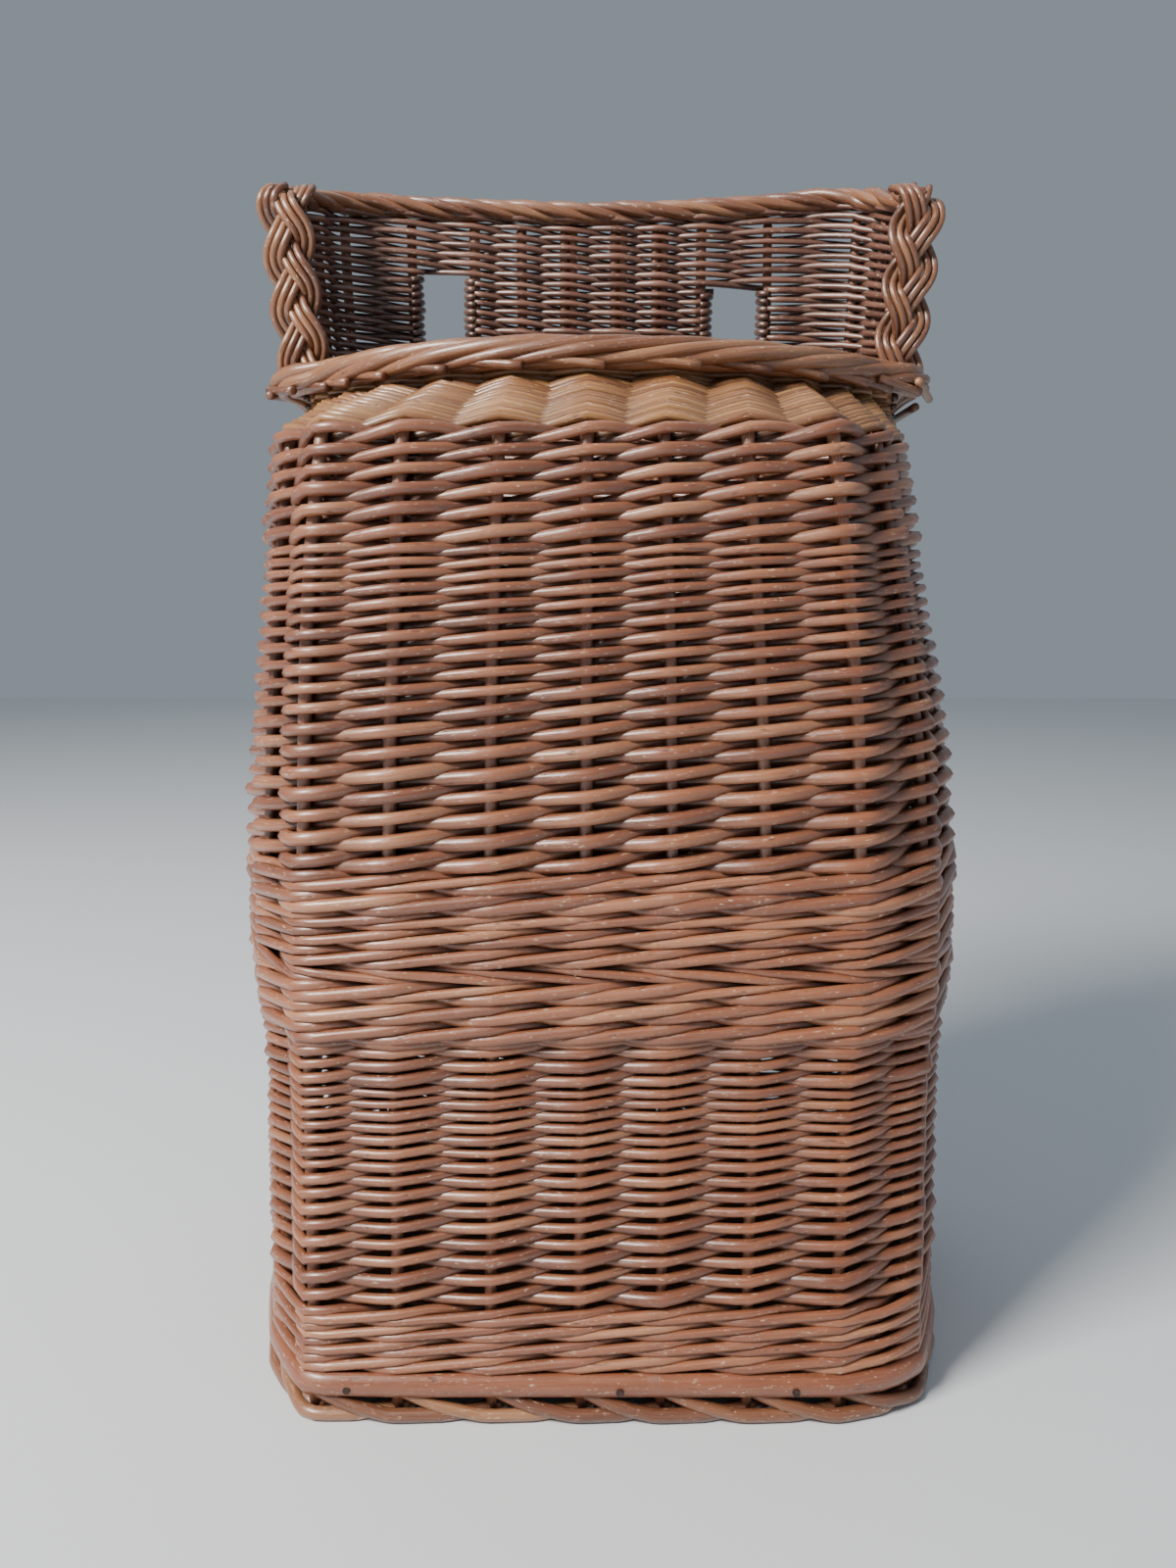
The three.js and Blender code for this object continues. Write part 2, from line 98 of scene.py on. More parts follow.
def around(halves, places):
    """Points once round the basket, FINE to a gap. places has each stake's side and its distance along it."""
    reach = {side: lengths(half) for side, half in halves.items()}
    whole = reach[1][-1] + reach[-1][-1]
    unrolled = [d if side > 0 else whole - d for side, d in places]
    u = np.arange(STAKES * FINE) / FINE
    d = np.interp(u, np.arange(STAKES + 1), unrolled + [unrolled[0] + whole]) % whole
    right = d <= reach[1][-1]
    d = np.where(right, d, whole - d)
    x, y = (np.where(right, np.interp(d, reach[1], halves[1][:, k]),
                     np.interp(d, reach[-1], halves[-1][:, k])) for k in (0, 1))
    ring = np.stack([np.where(right, x, -x), y, 0 * x], 1)
    corners = ring[::FINE]
    share = (np.arange(FINE) / FINE)[None, :, None]
    straight = (corners[:, None] * (1 - share) + np.roll(corners, -1, 0)[:, None] * share).reshape(-1, 3)
    return ring * (1 - TAUT) + straight * TAUT


def body_ring(z):
    level = level_at(z)
    halves = {side: half_body(level, side) for side in (1, -1)}

    def along(side, belly):
        share = lengths(halves[side])[-1] / lengths(half_body(level_at(BELLY_Z), side))[-1]
        return side, belly * share + side * level[5]

    places = [along(1, s) for s in RIGHT_BELLY] + [along(1, WING_BELLY[1] + s) for s in WING_STEPS]
    places += [(int(np.sign(x)), lengths(halves[int(np.sign(x))])[-1] - abs(x)) for x in BACK_X]
    places += [along(-1, WING_BELLY[-1] + s) for s in WING_STEPS[::-1]] + [along(-1, s) for s in LEFT_BELLY]
    ring = around(halves, places)
    ring[:, 2] = z
    return ring


MOUTH_FRONT = -30
WING_FOOT = (158, 54)  # the wing's front stake at the mouth
WING_HEAD = (165, 48)  # and at the top
WING_BEND = (-2, 46)  # from there to the point that draws the wing's curve
WING_BACK_X = 128  # where the curve runs out into the flat back
WING_TOP_Z = 596
TOP_Z = 606  # in the middle of the back
CORNER_LIFT = {1: 7, -1: 4.5}  # the top's rise from there to the wings
SPARE = 6  # the stakes' surface runs on this far past its last ring


def upper_ring(wing, wing_z, back_z, lift):
    """The mouth's arc, the wings' curves and the back, for wings whose front stakes stand at that point."""
    foot_x, foot_y = WING_FOOT
    climb = foot_y - MOUTH_FRONT
    radius = (foot_x ** 2 + climb ** 2) / (2 * climb)
    a = np.linspace(0, math.asin(foot_x / radius), 40)[:, None]
    arc = np.hstack([radius * np.sin(a), MOUTH_FRONT + radius * (1 - np.cos(a))])
    arc += (np.array(wing) - WING_FOOT) * (a / a[-1]) ** 4
    t = np.linspace(0, 1, 31)[:, None]
    start = np.array(wing, float)
    curve = (1 - t) ** 2 * start + 2 * t * (1 - t) * (start + WING_BEND) + t ** 2 * [WING_BACK_X, BACK_Y]
    half = np.vstack([arc, curve[1:], [[0, BACK_Y]]])
    reach = lengths(half)
    wings = [reach[len(arc) - 1 + 10 * k] for k in range(3)]
    places = [(1, m) for m in RIGHT_RIM] + [(1, w) for w in wings]
    places += [(int(np.sign(x)), reach[-1] - abs(x)) for x in BACK_X]
    places += [(-1, w) for w in wings[::-1]] + [(-1, m) for m in LEFT_RIM]
    ring = around({1: half, -1: half}, places)
    share = np.clip((ring[:, 1] - start[1]) / (BACK_Y - start[1]), 0, 1)
    outward = np.clip(np.abs(ring[:, 0]) / WING_BACK_X, 0, 1)
    risen = back_z + np.where(ring[:, 0] > 0, lift[1], lift[-1]) * outward ** 2
    ring[:, 2] = wing_z + share * (risen - wing_z)
    return ring


class Surface:
    """The surface the stakes stand on, at stake number u and height h, with its outward normal."""

    def __init__(self, heights, rings):
        self.heights = np.array(heights, float)
        self.points = np.array(rings)
        across = np.roll(self.points, -1, 1) - np.roll(self.points, 1, 1)
        up = np.gradient(self.points, axis=0)
        n = np.cross(across, up)
        self.normals = n / np.linalg.norm(n, axis=2, keepdims=True)

    def mix(self, table, u, h):
        count = STAKES * FINE
        i = (np.asarray(u) % STAKES) * FINE
        i0 = np.floor(i).astype(int) % count
        a = (i - np.floor(i))[..., None]
        j = np.interp(h, self.heights, np.arange(len(self.heights)))
        j0 = np.minimum(np.floor(j).astype(int), len(self.heights) - 2)
        b = (j - j0)[..., None]
        i1 = (i0 + 1) % count
        low = table[j0, i0] * (1 - a) + table[j0, i1] * a
        high = table[j0 + 1, i0] * (1 - a) + table[j0 + 1, i1] * a
        return low * (1 - b) + high * b

    def at(self, u, h, out=0.0):
        n = self.mix(self.normals, u, h)
        n /= np.linalg.norm(n, axis=-1, keepdims=True)
        out = np.broadcast_to(np.asarray(out, float), n.shape[:-1])
        return self.mix(self.points, u, h) + n * out[..., None], n


body_heights = list(np.arange(0, SHOULDER_Z + 1, 5))
body_rings = [body_ring(z) for z in body_heights]
mouth = upper_ring(WING_FOOT, MOUTH_Z, MOUTH_Z, {1: 0, -1: 0})
top = upper_ring(WING_HEAD, WING_TOP_Z, TOP_Z, CORNER_LIFT)
slope = np.linspace(0, 1, 15)[1:]
slope_rings = [body_rings[-1] * (1 - s) + mouth * s for s in slope]
front_wall = Surface(body_heights + [SHOULDER_Z + SLANT * s for s in slope] + [SHOULDER_Z + SLANT + SPARE],
                     body_rings + slope_rings + [mouth + (0, 0, SPARE)])
rise = np.linspace(0, 1, 7)[1:]
climb = np.linspace(0, 1, 20)[1:]
back_heights = [SHOULDER_Z + (MOUTH_Z - SHOULDER_Z) * s for s in rise]
back_heights += [MOUTH_Z + (TOP_Z - MOUTH_Z) * s for s in climb] + [TOP_Z + SPARE]
back_rings = [body_rings[-1] * (1 - s) + mouth * s for s in rise] + [mouth * (1 - s) + top * s for s in climb]
back_wall = Surface(body_heights + back_heights, body_rings + back_rings + [top + (0, 0, SPARE)])

# ---- Willow ---------------------------------------------------------------------------------------------
# Every rod is a tube swept along its own path. It carries its own coordinates, in mm along and across the
# rod, and one random number, so that grain, knots and tint run with each rod and change from rod to rod.
# Each rod also carries an amount of painted shade, which darkens its colour where it lies behind stakes or
# other rods.

chance = np.random.RandomState(7)


def skin(rows, sides, closed=True):
    """The quads between rings of points that follow one another."""
    i = np.arange(rows if closed else rows - 1)[:, None]
    k = np.arange(sides)[None]
    j = (i + 1) % rows
    corners = [i * sides + k, i * sides + (k + 1) % sides, j * sides + (k + 1) % sides, j * sides + k]
    return np.stack(corners, -1).reshape(-1, 4)


class Bundle:
    """Gathers tubes into one mesh."""

    def __init__(self):
        self.verts, self.faces, self.space, self.tint, self.depth = [], [], [], [], []
        self.count = 0

    def tube(self, points, normals, radius, sides=8, flat=1.0, closed=False, depth=None):
        n = len(points)
        radius = np.broadcast_to(np.asarray(radius, float), n)
        if closed:
            tangent = np.roll(points, -1, 0) - np.roll(points, 1, 0)
        else:
            tangent = np.gradient(points, axis=0)
        tangent /= np.linalg.norm(tangent, axis=1, keepdims=True)
        v = normals - tangent * (normals * tangent).sum(1, keepdims=True)
        v /= np.linalg.norm(v, axis=1, keepdims=True)
        w = np.cross(tangent, v)
        a = np.arange(sides) * 2 * math.pi / sides
        ring = (v[:, None] * np.cos(a)[None, :, None] * flat + w[:, None] * np.sin(a)[None, :, None])
        p = points[:, None] + ring * radius[:, None, None]
        if not closed:  # the cut ends are slightly rounded
            p = np.concatenate([p[:1] * 0.25 + points[:1, None] * 0.75 - tangent[:1, None] * 0.1, p,
                                p[-1:] * 0.25 + points[-1:, None] * 0.75 + tangent[-1:, None] * 0.1])
        rows = len(p)
        self.faces.append(skin(rows, sides, closed) + self.count)
        if not closed:
            first = self.count + np.arange(sides)[::-1]
            last = self.count + (rows - 1) * sides + np.arange(sides)
            for cap in (first, last):
                for c in range(1, sides - 2, 2):
                    self.faces.append(np.array([[cap[0], cap[c], cap[c + 1], cap[c + 2]]]))
        along = lengths(points)
        if not closed:
            along = np.concatenate([along[:1], along, along[-1:]])
            radius = np.concatenate([radius[:1], radius, radius[-1:]])
        number = chance.rand()
        space = np.stack(np.broadcast_arrays((along + 5000 * number)[:, None],
                                             np.cos(a)[None] * radius[:, None],
                                             np.sin(a)[None] * radius[:, None]), -1)
        self.space.append(space.reshape(-1, 3))
        self.tint.append(np.full(rows * sides, number))
        # How far the rod's colour is darkened by painted shade, along its length.
        if depth is None:
            depth = np.zeros(n)
        depth = np.broadcast_to(np.asarray(depth, float), n)
        if not closed:
            depth = np.concatenate([depth[:1], depth, depth[-1:]])
        self.depth.append(np.repeat(depth, sides))
        self.verts.append(p.reshape(-1, 3))
        self.count += rows * sides

    def build(self, name, material, replaces):
        verts = np.concatenate(self.verts) / 1000
        faces = np.concatenate(self.faces)
        mesh = bpy.data.meshes.new(name)
        mesh.vertices.add(len(verts))
        mesh.vertices.foreach_set("co", verts.ravel())
        mesh.loops.add(faces.size)
        mesh.loops.foreach_set("vertex_index", faces.ravel().astype(np.int32))
        mesh.polygons.add(len(faces))
        mesh.polygons.foreach_set("loop_start", np.arange(0, faces.size, 4, dtype=np.int32))
        mesh.polygons.foreach_set("use_smooth", np.ones(len(faces), bool))
        for field, kind, key, values in (("rod_space", "FLOAT_VECTOR", "vector", self.space),
                                         ("rod_number", "FLOAT", "value", self.tint),
                                         ("rod_painted_shade", "FLOAT", "value", self.depth)):
            made = mesh.attributes.new(field, kind, "POINT")
            made.data.foreach_set(key, np.concatenate(values).ravel())
        mesh.update(calc_edges=True)
        mesh.validate()
        mesh.materials.append(material)
        piece = bpy.data.objects.new(name, mesh)
        bpy.context.scene.collection.objects.link(piece)
        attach(piece, "root")
        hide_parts(*replaces)


def linear(code):
    """An sRGB hex colour as linear RGBA."""
    parts = [int(code[k:k + 2], 16) / 255 for k in (1, 3, 5)]
    return [c / 12.92 if c <= 0.04045 else ((c + 0.055) / 1.055) ** 2.4 for c in parts] + [1.0]


def node(tree, kind, links=None, **settings):
    """Adds a node. links maps its input names or numbers to sockets or values."""
    made = tree.nodes.new(kind)
    for key, value in settings.items():
        setattr(made, key, value)
    for key, value in (links or {}).items():
        socket = made.inputs[key]
        if isinstance(value, bpy.types.NodeSocket):
            tree.links.new(value, socket)
        else:
            socket.default_value = value
    return made


def ramp(tree, factor, stops):
    made = node(tree, "ShaderNodeValToRGB", {"Fac": factor})
    band = made.color_ramp
    while len(band.elements) < len(stops):
        band.elements.new(0.5)
    for element, (place, colour) in zip(band.elements, stops):
        element.position = place
        element.color = linear(colour) if isinstance(colour, str) else [colour] * 3 + [1]
    return made.outputs["Color"]


def mix(tree, factor, a, b, blend="MIX"):
    made = node(tree, "ShaderNodeMix", data_type="RGBA", blend_type=blend)
    made.inputs[0].default_value = 0
    for socket, value in ((made.inputs[0], factor), (made.inputs[6], a), (made.inputs[7], b)):
        if isinstance(value, bpy.types.NodeSocket):
            tree.links.new(value, socket)
        else:
            socket.default_value = value
    return made.outputs[2]


def maths(tree, operation, *values):
    return node(tree, "ShaderNodeMath", dict(enumerate(values)), operation=operation).outputs[0]


def willow(name, tints, gloss=0.36, bump=0.55):
    """Varnished buff willow: streaks along the rod, leaf scars, rubbed pale spots, and painted shade on the
    parts of rods that lie behind others.
    """
    material = bpy.data.materials.new(name)
    material.use_nodes = True
    tree = material.node_tree
    shader = tree.nodes["Principled BSDF"]
    space = node(tree, "ShaderNodeAttribute", attribute_name="rod_space").outputs["Vector"]
    number = node(tree, "ShaderNodeAttribute", attribute_name="rod_number").outputs["Fac"]
    depth = node(tree, "ShaderNodeAttribute", attribute_name="rod_painted_shade").outputs["Fac"]

    def field(scale, detail=3.0, rough=0.6):
        place = node(tree, "ShaderNodeVectorMath", {0: space, 1: scale}, operation="MULTIPLY").outputs[0]
        return node(tree, "ShaderNodeTexNoise", {"Vector": place, "Scale": 1.0, "Detail": detail,
                                                 "Roughness": rough}).outputs["Fac"]

    streak = field((0.035, 1.1, 1.1))
    blotch = field((0.018, 0.12, 0.12), 2.0)
    fine = field((0.25, 4.0, 4.0), 2.0)
    scar = field((0.09, 0.35, 0.35), 2.0)
    scuff = field((0.22, 0.8, 0.8), 5.0, 0.75)
    tone = maths(tree, "ADD", maths(tree, "MULTIPLY", number, 0.38),
                 maths(tree, "MULTIPLY", maths(tree, "ADD", blotch, streak), 0.42))
    tone = maths(tree, "ADD", tone, maths(tree, "MULTIPLY", maths(tree, "SUBTRACT", fine, 0.5), 0.16))
    stops = [(0.16, tints[0]), (0.42, tints[1]), (0.66, tints[2]), (0.95, tints[3])]
    colour = ramp(tree, tone, stops)
    knots = ramp(tree, scar, [(0.0, 0.0), (0.66, 0.0), (0.73, 1.0)])
    colour = mix(tree, maths(tree, "MULTIPLY", knots, 0.65), colour, linear("#4c2c1f"))
    rubbed = ramp(tree, scuff, [(0.0, 0.0), (0.60, 0.0), (0.67, 1.0)])
    colour = mix(tree, maths(tree, "MULTIPLY", rubbed, 0.6), colour, linear("#e6cdb2"))
    # Painted shade: the colour is multiplied towards dark brown by the rod's painted shade amount.
    colour = mix(tree, depth, colour, linear("#3c251b"), "MULTIPLY")
    tree.links.new(colour, shader.inputs["Base Color"])
    rough = maths(tree, "ADD", maths(tree, "MULTIPLY", streak, 0.25), gloss - 0.1)
    rough = maths(tree, "ADD", rough, maths(tree, "MULTIPLY", rubbed, 0.2))
    tree.links.new(rough, shader.inputs["Roughness"])
    shader.inputs["Specular IOR Level"].default_value = 0.6
    shader.inputs["Coat Weight"].default_value = 0.5
    shader.inputs["Coat Roughness"].default_value = 0.22
    height = maths(tree, "ADD", maths(tree, "MULTIPLY", streak, 0.7), maths(tree, "MULTIPLY", fine, 0.3))
    height = maths(tree, "SUBTRACT", height, maths(tree, "MULTIPLY", knots, 0.4))
    bumped = node(tree, "ShaderNodeBump", {"Height": height, "Strength": bump, "Distance": 0.0006})
    tree.links.new(bumped.outputs["Normal"], shader.inputs["Normal"])
    return material


rod_willow = willow("varnished_willow", ["#4f2a1b", "#774630", "#935b3e", "#b37f5c"])
border_willow = willow("varnished_border_willow", ["#43261a", "#643c29", "#835539", "#a67955"])
stake_willow = willow("varnished_stake_willow", ["#4f2b1f", "#784834", "#925e44", "#b08061"])
shoulder_willow = willow("varnished_shoulder_willow", ["#56341f", "#7e502f", "#9b6c40", "#ba8d5a"])
# The back and wings get darker tints than the body. This is painted shade, standing in for the shade inside
# the back, and from behind it shows as a hard change of colour at the shoulder.
back_willow_painted_shade = willow("varnished_back_willow_painted_shade", ["#3a2118", "#5b392c", "#7a5242", "#9c7562"])


def wobble(t, size, rate=0.35):
    """A smooth random drift along a rod."""
    phases = chance.rand(3) * 2 * math.pi
    rates = rate * np.array([1, 2.3, 4.1]) * (0.8 + 0.4 * chance.rand(3))
    return size * sum(np.sin(r * t + p) / k for k, (r, p) in enumerate(zip(rates, phases), 1)) / 1.8


# ---- Stakes ---------------------------------------------------------------------------------------------
# Upright rods, 6 mm thick, the skeleton of the basket. They start under the hoop; those of the front and
# sides end in the rim, and those of the wings and back run up to the top border.

DOUBLED = (11, 12, 13)  # the back's middle stakes, which are pairs of rods above the shoulder
PAIR_HALF = 2.6  # from the middle of a pair to each rod
PAIR_R = 2.7
PAIR_THINNED = 0.4  # what the first rod of a pair loses in radius
STAKE_FOOT = 4
RIM_STAKE_TOP = 534
BACK_STAKE_TOP = 604
bundle = Bundle()
for i in range(STAKES):
    in_rim = i < RIGHT_WING or i > LEFT_WING
    wall = front_wall if in_rim else back_wall
    stake_top = RIM_STAKE_TOP if in_rim else BACK_STAKE_TOP
    h = np.concatenate([np.arange(STAKE_FOOT, SHOULDER_Z - 8, 12), np.arange(SHOULDER_Z - 6, stake_top, 6)])
    drift = wobble(h, 0.012, 0.02)
    p, n = wall.at(i + drift, h)
    # The stakes get a little painted shade all along, as they lie behind the weavers.
    if i in DOUBLED:
        above = np.clip((h - SHOULDER_Z) / 12, 0, 1)[:, None]
        for side in (-PAIR_HALF, PAIR_HALF):
            radius = PAIR_R if side > 0 else STAKE_R - PAIR_THINNED * above[:, 0]
            bundle.tube(p + above * (side, 0, 0), n, radius, depth=0.25)
    else:
        bundle.tube(p, n, STAKE_R * (1 + 0.05 * chance.randn()), depth=0.25)
bundle.build("stakes", stake_willow, ["stake_%02d" % (i + 1) for i in range(STAKES)])

# ---- Sidings --------------------------------------------------------------------------------------------
# Rand: one rod to each stake, all climbing together to the right, each in front of one stake and behind the
# next. The rods taper, so that the rounds grow finer towards the top of each set.

STEP = 5  # points of a rod between two stakes
HOOP_TOP = 24.4
FOOT_WALE_TOP = 58
WAIST_FOOT = 189
WAIST_TOP = 269
# Height, pitch of the rounds, and how much of the pitch the rod fills.
LOWER_SIZES = [(FOOT_WALE_TOP, 9.6, 0.63), (90, 8.6, 0.63), (130, 6.8, 0.66), (165, 5.2, 0.8),
               (168, 7.2, 0.78), (WAIST_FOOT, 6.6, 0.8)]
UPPER_SIZES = [(270, 10.6, 0.62), (330, 9.4, 0.63), (380, 7.2, 0.66), (412, 5.0, 0.74),
               (416, 9.0, 0.64), (465, 8.2, 0.64)]


def bend(t, sharp=0.97):
    """1 in front of a stake, -1 behind the next, and nearly straight between them."""
    return np.arcsin(sharp * np.cos(math.pi * t)) / math.asin(sharp)


def rand_weave(bundle, wall, low, high, sizes, first=0, last=None, holes=(), inward=1):
    """sizes is [(height, pitch, fullness), ...]. first and last bound an open run; holes stay open."""
    hs, ps, full = zip(*sizes)
    reach = [low]
    while reach[-1] < high:
        reach.append(reach[-1] + np.interp(reach[-1], hs, ps) / 2 / STEP)
    reach += [high] * (-(len(reach) - 1) % (2 * STEP))  # on to the next stake it passes behind
    reach = np.array(reach)
    t = np.arange(len(reach)) / STEP
    sway = -bend(t)
    for k in range(STAKES) if last is None else range(int(first - t[-1]) - 1, int(last) + 1):
        radius = np.interp(reach, hs, ps) * np.interp(reach, hs, full) / 2
        radius = radius * (1 + 0.07 * chance.randn()) * (1 + wobble(t, 0.05))
        out = inward * sway * (STAKE_R + radius * 0.92) + wobble(t, 0.3, 1.1)
        level = np.clip(reach + wobble(t, 0.4, 1.3), low, high)
        p, n = wall.at(k + t, level, out)
        keep = np.ones(len(t), bool) if last is None else (k + t >= first) & (k + t <= last)
        for a, b, z0, z1 in holes:
            keep &= ~((k + t > a) & (k + t < b) & (level > z0) & (level < z1))
        edges = np.flatnonzero(np.diff(np.concatenate([[0], keep.astype(int), [0]])))
        for i, j in zip(edges[::2], edges[1::2]):
            if j - i > 2:
                # Painted shade darkens a rod where it passes behind a stake.
                bundle.tube(p[i:j], n[i:j], radius[i:j], sides=7, depth=np.clip(0.35 - 0.4 * sway[i:j], 0, 1))


bundle = Bundle()
rand_weave(bundle, front_wall, FOOT_WALE_TOP, WAIST_FOOT, LOWER_SIZES)
bundle.build("lower_siding_weave", rod_willow, ["lower_siding"])

bundle = Bundle()
rand_weave(bundle, front_wall, WAIST_TOP, SHOULDER_Z, UPPER_SIZES)
bundle.build("upper_siding_weave", rod_willow, ["upper_siding"])

# ---- Wales ----------------------------------------------------------------------------------------------
# Bands of three rods worked together, each in front of two stakes and behind the third. Their long strokes
# climb to the right; one round of the waist was worked the other way.

FOOT_PITCHES = [8.4, 7.8, 8.0, 7.6]
WAIST_PITCHES = [10.2, 9.8, 9.4, 7.2, 9.6, 9.0, 7.0, 9.4, 9.2]
WAIST_REVERSED = (3,)


def wale(bundle, wall, low, pitches, thickness, reverse=(), out_by=0.0):
    t = np.arange(STAKES * 6) / 6
    for r, pitch in enumerate(pitches):
        for strand in range(3):
            phase = (t + strand) % 3
            radius = pitch * thickness / 2 * (1 + 0.08 * chance.randn())
            sway = np.interp(phase, [0, 0.5, 0.95, 1.5, 2.05, 2.5, 3], [-1, 0.1, 1.0, 1.0, 1.0, 0.1, -1])
            climb = np.interp(phase, [0, 0.7, 2.3, 3], [0.35, 0.0, 0.8, 0.35])
            if r in reverse:
                climb = 0.8 - climb
            out = sway * (STAKE_R + radius * 0.9) + out_by
            height = low + sum(pitches[:r]) + pitch * (0.13 + climb)
            p, n = wall.at(t, height + 0.3 * np.sin(t * 2 * math.pi / 9 + strand), out)
            # Painted shade darkens a strand where it passes behind a stake.
            bundle.tube(p, n, radius, sides=8, closed=True, depth=np.clip(0.3 - 0.35 * sway, 0, 1))


bundle = Bundle()
wale(bundle, front_wall, HOOP_TOP, FOOT_PITCHES, thickness=0.6)
bundle.build("foot_wale_weave", rod_willow, ["foot_wale"])

bundle = Bundle()
wale(bundle, front_wall, WAIST_FOOT, WAIST_PITCHES, thickness=0.58, reverse=WAIST_REVERSED, out_by=0.4)
bundle.build("waist_wale_weave", rod_willow, ["waist_wale"])

# ---- Shoulder -------------------------------------------------------------------------------------------
# Fine rods beaten close together, sloping in from the body's edge to the mouth, from wing to wing.

SHOULDER_SIZES = [(465, 5.6, 0.8), (540, 4.8, 0.8)]
bundle = Bundle()
rand_weave(bundle, front_wall, SHOULDER_Z + 1, SHOULDER_Z + SLANT + 5, SHOULDER_SIZES,
           first=LEFT_WING - STAKES + 0.02, last=RIGHT_WING - 0.02)
bundle.build("shoulder_weave_rods", shoulder_willow, ["shoulder_weave"])

# ---- Back and wings -------------------------------------------------------------------------------------
# Above the shoulder the back is randed from one wing's edge to the other. Two slots for the straps are left
# open between stakes, and there the rods turn back round the stakes.

SLOT_BOTTOM = 510
SLOTS = [(9, 569), (15, 577)]  # the stake before each, and its top
SLOT_EDGES = (0.12, 0.88)  # of the way from one stake to the next
LOOP_R = 5.0  # of a rod's turn round a slot's stake
LOOP_ROD_R = 2.0
BACK_TOP = 611
BACK_PITCH = 5.2
bundle = Bundle()
holes = [(k + SLOT_EDGES[0], k + SLOT_EDGES[1], SLOT_BOTTOM, z) for k, z in SLOTS]
back_sizes = [(SHOULDER_Z, BACK_PITCH, 0.66), (BACK_TOP, BACK_PITCH, 0.66)]
rand_weave(bundle, back_wall, SHOULDER_Z + 1, BACK_TOP, back_sizes,
           first=RIGHT_WING - 0.1, last=LEFT_WING + 0.1, holes=holes, inward=-1)
for before, slot_top in SLOTS:
    for stake in (before, before + 1):
        towards = -1 if stake == before else 1  # the slot lies on this side of the stake, along x
        for z in np.arange(SLOT_BOTTOM + 2, slot_top, BACK_PITCH * 0.8):
            centre, n = back_wall.at(np.full(9, float(stake)), np.full(9, z))
            a = np.linspace(-1.7, 1.7, 9)[:, None]
            r = LOOP_R + 0.3 * chance.randn()
            p = centre + r * (np.cos(a) * [towards, 0, 0] + np.sin(a) * n) + [0, 0, 1.0] * a * 0.8
            # Painted shade darkens the rods that turn round a slot's stake.
            bundle.tube(p, np.repeat([[0, 0, 1.0]], 9, 0), LOOP_ROD_R, sides=7, depth=0.5)
# The back's willow is darkened with painted shade.
bundle.build("back_weave", back_willow_painted_shade, ["back_panel", "left_wing", "right_wing"])

# ---- Rim border -----------------------------------------------------------------------------------------
# The stakes' ends laid down in a rope of rods that overhangs the shoulder, and cut off under its outer side.

UP = np.array([0, 0, 1.0])
RIM_RISE = 13.3  # the rope's middle line, above the mouth


def rope(bundle, centre, half_width, half_height, rod_r, strands, pitch, hand=1, curl=0.0):
    """Rods twisted round a core along a line. hand is 1 or -1, the way they turn; curl lowers the ends."""
    along = lengths(centre)
    fine_s = np.arange(0, along[-1], 4.0)
    c = np.stack([np.interp(fine_s, along, centre[:, k]) for k in range(3)], 1)
    tangent = np.gradient(c, axis=0)
    tangent /= np.linalg.norm(tangent, axis=1, keepdims=True)
    side = np.cross(tangent, UP)
    side /= np.linalg.norm(side, axis=1, keepdims=True)
    lift = np.cross(side, tangent)
    tail = np.clip(1 - np.minimum(fine_s, along[-1] - fine_s) / 30, 0, 1)  # the ends are drawn in and down
    c = c - lift * (curl * tail ** 2)[:, None]
    narrow = 1 - 0.35 * tail
    for s in range(strands):
        a = hand * 2 * math.pi * (fine_s / pitch) + 2 * math.pi * s / strands + wobble(fine_s, 0.14, 0.02)
        radius = rod_r * (1 + 0.07 * chance.randn() + wobble(fine_s, 0.06, 0.03))
        off = side * (np.cos(a) * (half_width - rod_r) * narrow)[:, None] \
            + lift * (np.sin(a) * (half_height - rod_r) * narrow)[:, None]
        n = off / np.linalg.norm(off, axis=1, keepdims=True)
        first, last = chance.randint(0, 3), len(c) - chance.randint(0, 3)
        bundle.tube((c + off)[first:last], n[first:last], radius[first:last], sides=9)
    core = min(half_width, half_height) - rod_r
    # The core inside the rope is fully darkened with painted shade.
    bundle.tube(c[3:-3], side[3:-3], core, sides=7, depth=1.0)
    return c, side, lift


def plan_line(ring, first, last, outset, z):
    """A line above a ring, from one stake to another, set out from it by outset and raised by z."""
    u = np.arange(first * FINE, last * FINE + 1)
    pts = ring[u % (STAKES * FINE)]
    along = np.gradient(pts, axis=0) * (1, 1, 0)
    along /= np.linalg.norm(along, axis=1, keepdims=True)
    out = np.stack([along[:, 1], -along[:, 0], 0 * along[:, 0]], 1)
    return pts * (1, 1, 0) + out * np.asarray(outset)[..., None] + np.array([0, 0, 1]) * (pts[:, 2:] + z)


